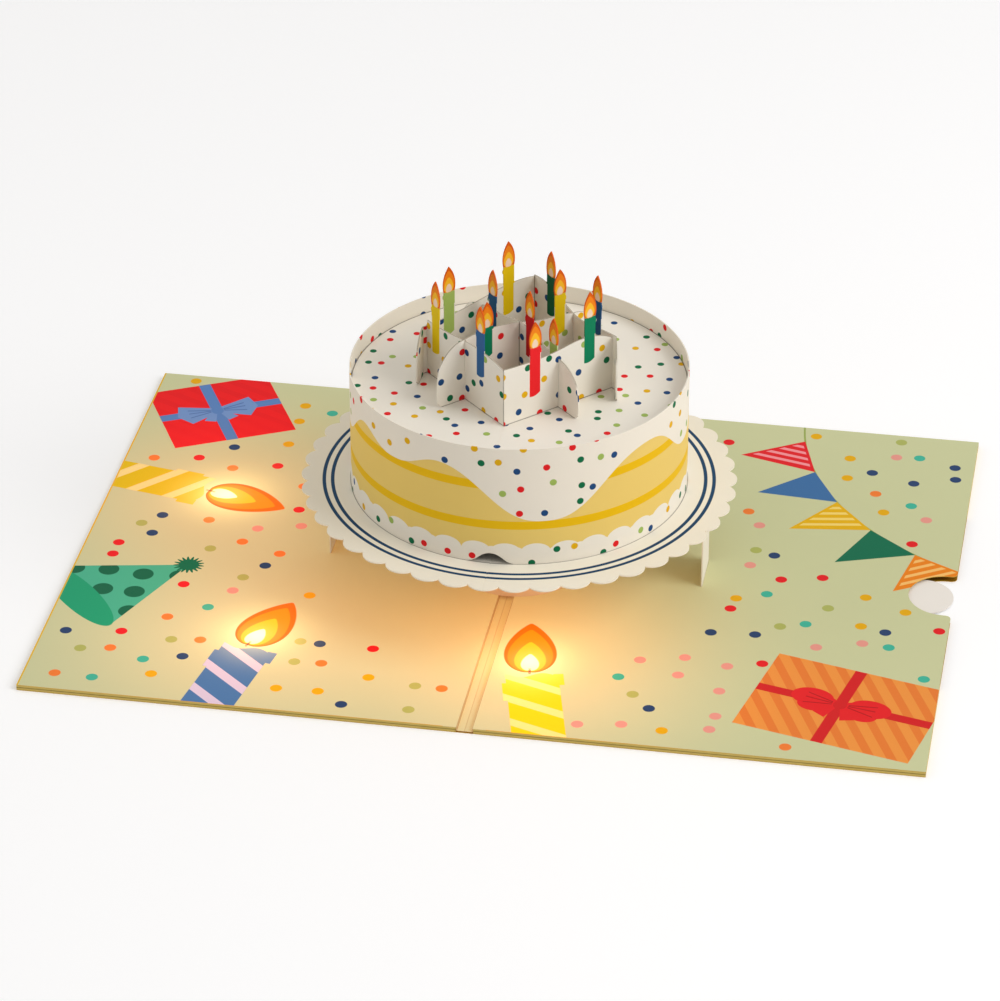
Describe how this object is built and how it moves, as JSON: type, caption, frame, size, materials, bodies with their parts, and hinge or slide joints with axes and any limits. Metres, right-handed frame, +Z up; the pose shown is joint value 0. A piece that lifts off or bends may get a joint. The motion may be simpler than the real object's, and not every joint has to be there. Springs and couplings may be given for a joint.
{
  "type": "pop up card",
  "caption": "Greeting card opened flat, with a paper birthday cake on a plate that stands up from its fold and a slip that pulls out at the side.",
  "frame": {"origin": "on the surface the card lies on, under the middle of the open card", "axes": "+X across the open card towards the half with the finger notch, +Y away from the reader along the fold, +Z up"},
  "size_m": [0.252, 0.178, 0.0938],
  "materials": {
    "gold_sheet": "metallic gold foil",
    "printed_sheet": "uncoated print",
    "core_board": "grey board",
    "note_paper": "smooth",
    "white_stock": "smooth",
    "plate_stock": "smooth print",
    "cake_print": "smooth print",
    "cake_top_print": "smooth print",
    "candle_print": "smooth print",
    "tray_plastic": "moulded",
    "cell_steel": "spun",
    "contact_metal": "rolled",
    "board_resin": "resin board",
    "chip_resin": "glob top",
    "lamp_body": "clear lens",
    "lead_film": "film with copper tracks",
    "tongue_film": "clear film"
  },
  "bodies": {
    "card": {"outer_cover": "gold_sheet", "inner_card": "printed_sheet", "left_core": "core_board", "right_core": "core_board", "pedestal_tube": "white_stock", "left_strut": "white_stock", "right_strut": "white_stock", "plate": "plate_stock", "cake_band": "cake_print", "cake_top": "cake_top_print", "front_candle_wall": "candle_print", "rear_candle_wall": "candle_print", "candle_slice_left": "candle_print", "candle_slice_right": "candle_print", "battery_tray": "tray_plastic", "coin_cell_left": "cell_steel", "coin_cell_right": "cell_steel", "cell_bridge": "contact_metal", "side_contacts": "contact_metal", "circuit_board": "board_resin", "controller_chip": "chip_resin", "led_rear": "lamp_body", "led_front": "lamp_body", "led_right": "lamp_body", "lead_rear": "lead_film", "lead_front": "lead_film", "lead_right": "lead_film", "switch_spring": "contact_metal", "switch_pad": "contact_metal", "switch_tongue": "tongue_film"},
    "note": {"note_card": "note_paper"}
  },
  "joints": [
    {"name": "note_slide", "type": "slide", "parent": "card", "child": "note", "axis": [1, 0, 0], "range_m": [0, 0.06]}
  ]
}
